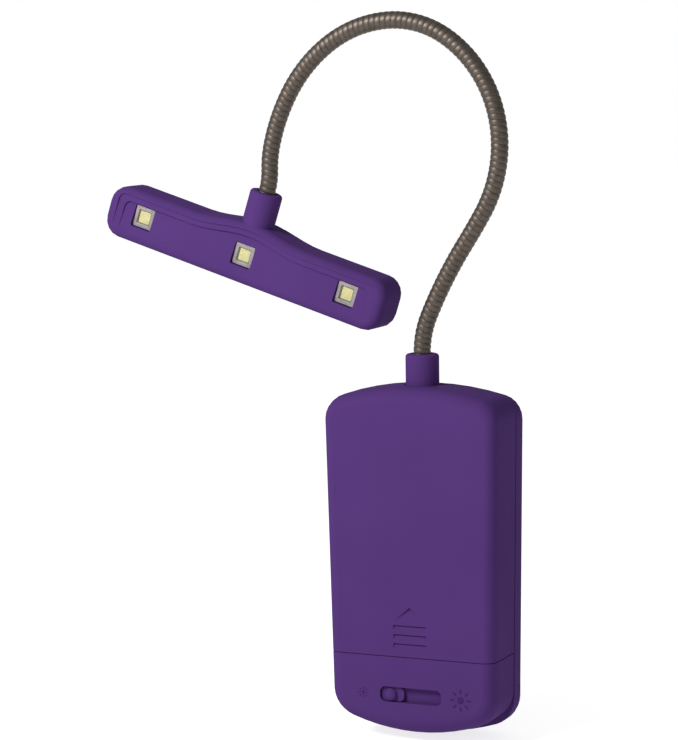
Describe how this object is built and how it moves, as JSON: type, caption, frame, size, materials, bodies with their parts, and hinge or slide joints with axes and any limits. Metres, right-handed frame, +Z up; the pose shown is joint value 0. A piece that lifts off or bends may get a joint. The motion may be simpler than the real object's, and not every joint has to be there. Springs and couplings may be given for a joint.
{
  "type": "book light",
  "caption": "Clip-on book light: flat battery body with sliding cover and slide switch, sprung clip, bendable ribbed neck and a lamp bar.",
  "frame": {"origin": "on the flat back face of the housing, in the jaw of the clip, on the body's middle line and 20 mm above its lowest edge", "axes": "+Z up towards the neck, +Y from the housing towards the clip, +X to the right as seen from the front with the switch"},
  "size_m": [0.1007, 0.02, 0.1663],
  "materials": {
    "body_plastic": "soft-touch satin",
    "neck_metal": "dark bronze-grey satin",
    "steel": "bright",
    "rubber": "matt",
    "board": "satin",
    "switch_plastic": "satin",
    "cell_sleeve": "gloss",
    "lamp_frame": "satin",
    "phosphor": "soft"
  },
  "bodies": {
    "housing": {"chassis": "body_plastic", "switch_cover": "body_plastic", "body_screw_1": "steel", "body_screw_2": "steel", "cell_1": "cell_sleeve", "cell_2": "cell_sleeve", "cell_3": "cell_sleeve", "contact_bridge_lower": "steel", "contact_bridge_upper": "steel", "contact_minus": "steel", "contact_plus": "steel", "contact_spring_1": "steel", "contact_spring_2": "steel", "contact_spring_3": "steel", "clip_pin": "steel", "torsion_spring": "steel", "grip_pad_housing": "rubber", "slide_switch": "switch_plastic", "circuit_board": "board", "neck_ferrule_body": "steel", "neck_segment_1": "neck_metal"},
    "cover": {"battery_cover": "body_plastic"},
    "slider": {"slider_knob": "body_plastic", "switch_lever": "switch_plastic"},
    "clip": {"clip_plate": "body_plastic", "grip_pad_clip": "rubber"},
    "neck_2": {"neck_segment_2": "neck_metal"},
    "neck_3": {"neck_segment_3": "neck_metal"},
    "neck_4": {"neck_segment_4": "neck_metal"},
    "neck_5": {"neck_segment_5": "neck_metal"},
    "neck_6": {"neck_segment_6": "neck_metal"},
    "neck_7": {"neck_segment_7": "neck_metal"},
    "neck_8": {"neck_segment_8": "neck_metal"},
    "head": {"neck_segment_9": "neck_metal", "neck_ferrule_head": "steel", "head_shell": "body_plastic", "head_back": "body_plastic", "head_board": "board", "head_screw_1": "steel", "head_screw_2": "steel", "led_1": "lamp_frame", "led_2": "lamp_frame", "led_3": "lamp_frame", "led_phosphor_1": "phosphor", "led_phosphor_2": "phosphor", "led_phosphor_3": "phosphor"}
  },
  "joints": [
    {"name": "cover_slide", "type": "slide", "parent": "housing", "child": "cover", "axis": [0, 0, 1], "range_m": [0, 0.006]},
    {"name": "switch_slide", "type": "slide", "parent": "housing", "child": "slider", "axis": [1, 0, 0], "range_m": [0, 0.0092]},
    {"name": "clip_hinge", "type": "hinge", "parent": "housing", "child": "clip", "pos_m": [0, 0.0018, 0.0548], "axis": [1, 0, 0], "range_deg": [0, 12], "stiffness_Nm_per_rad": 0.15, "springref_deg": -34.38},
    {"name": "neck_1_bend", "type": "hinge", "parent": "housing", "child": "neck_2", "pos_m": [0.00197, -0.00385, 0.0761], "axis": [0.0002, 1, 0], "range_deg": [-12, 28]},
    {"name": "neck_2_swing", "type": "hinge", "parent": "neck_2", "child": "neck_3", "pos_m": [0.01097, -0.00385, 0.09253], "axis": [0.8352, 0, -0.5499], "range_deg": [-25, 25]},
    {"name": "neck_3_bend", "type": "hinge", "parent": "neck_3", "child": "neck_4", "pos_m": [0.01881, -0.00385, 0.1094], "axis": [0.0002, 1, 0], "range_deg": [-4, 28]},
    {"name": "neck_4_swing", "type": "hinge", "parent": "neck_4", "child": "neck_5", "pos_m": [0.01618, -0.00385, 0.12766], "axis": [0.8945, 0, 0.447], "range_deg": [-25, 25]},
    {"name": "neck_5_bend", "type": "hinge", "parent": "neck_5", "child": "neck_6", "pos_m": [0.00304, -0.00385, 0.14055], "axis": [0.0002, 1, 0], "range_deg": [-2.5, 28]},
    {"name": "neck_6_swing", "type": "hinge", "parent": "neck_6", "child": "neck_7", "pos_m": [-0.01526, -0.00385, 0.14097], "axis": [0.3281, 0, -0.9447], "range_deg": [-25, 25]},
    {"name": "neck_7_bend", "type": "hinge", "parent": "neck_7", "child": "neck_8", "pos_m": [-0.03002, -0.00385, 0.12984], "axis": [0.0002, 1, 0], "range_deg": [-3, 28]},
    {"name": "neck_8_swing", "type": "hinge", "parent": "neck_8", "child": "head", "pos_m": [-0.03735, -0.00385, 0.11274], "axis": [0.9865, 0, -0.1635], "range_deg": [-25, 25]}
  ]
}
